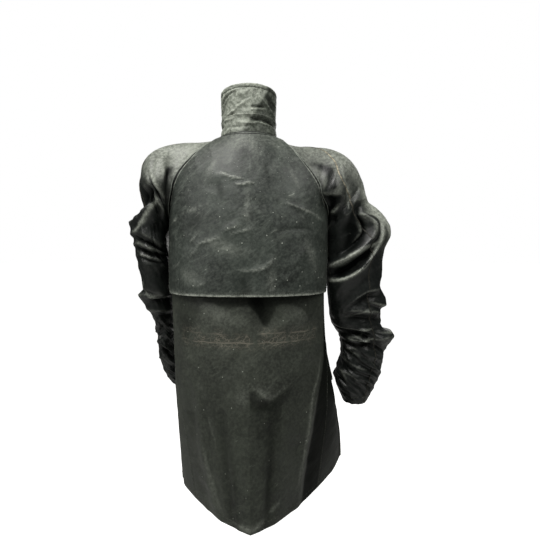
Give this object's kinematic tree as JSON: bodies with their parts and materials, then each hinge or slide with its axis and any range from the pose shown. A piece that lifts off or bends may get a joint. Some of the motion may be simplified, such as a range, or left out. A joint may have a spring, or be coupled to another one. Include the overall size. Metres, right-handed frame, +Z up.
{
  "type": "trench coat",
  "caption": "Three-quarter waxed trench coat with raglan sleeves, a turned-up stand collar, a back storm cape and a buttoned front, filled out as worn.",
  "frame": {"origin": "centre of the neck opening, level with the back neck seam, where the coat hangs from the wearer's neck and shoulders", "axes": "+Z up along the coat's length, the front faces -Y and the back +Y, and the wearer's left is +X"},
  "size_m": [0.7034, 0.4025, 1.0172],
  "materials": {
    "waxed_cotton": "dark grey-green waxed cotton, worn and half gloss",
    "waxed_cotton_worn": "the same cloth with pale wear in its wax",
    "waxed_cotton_dark": "the same cloth, crumpled, near black and glossy",
    "button_resin": "dark brown moulded resin, half gloss"
  },
  "bodies": {
    "root": {"back": "waxed_cotton", "front_left": "waxed_cotton", "front_right": "waxed_cotton", "storm_cape": "waxed_cotton_worn", "collar_stand": "waxed_cotton", "collar_fall": "waxed_cotton", "sleeve_back_left": "waxed_cotton_dark", "sleeve_back_right": "waxed_cotton_dark", "sleeve_front_left": "waxed_cotton_dark", "sleeve_front_right": "waxed_cotton_dark", "pocket_flap_left": "waxed_cotton", "pocket_flap_right": "waxed_cotton", "button_1": "button_resin", "button_2": "button_resin", "button_3": "button_resin", "button_4": "button_resin", "button_5": "button_resin"}
  },
  "joints": []
}
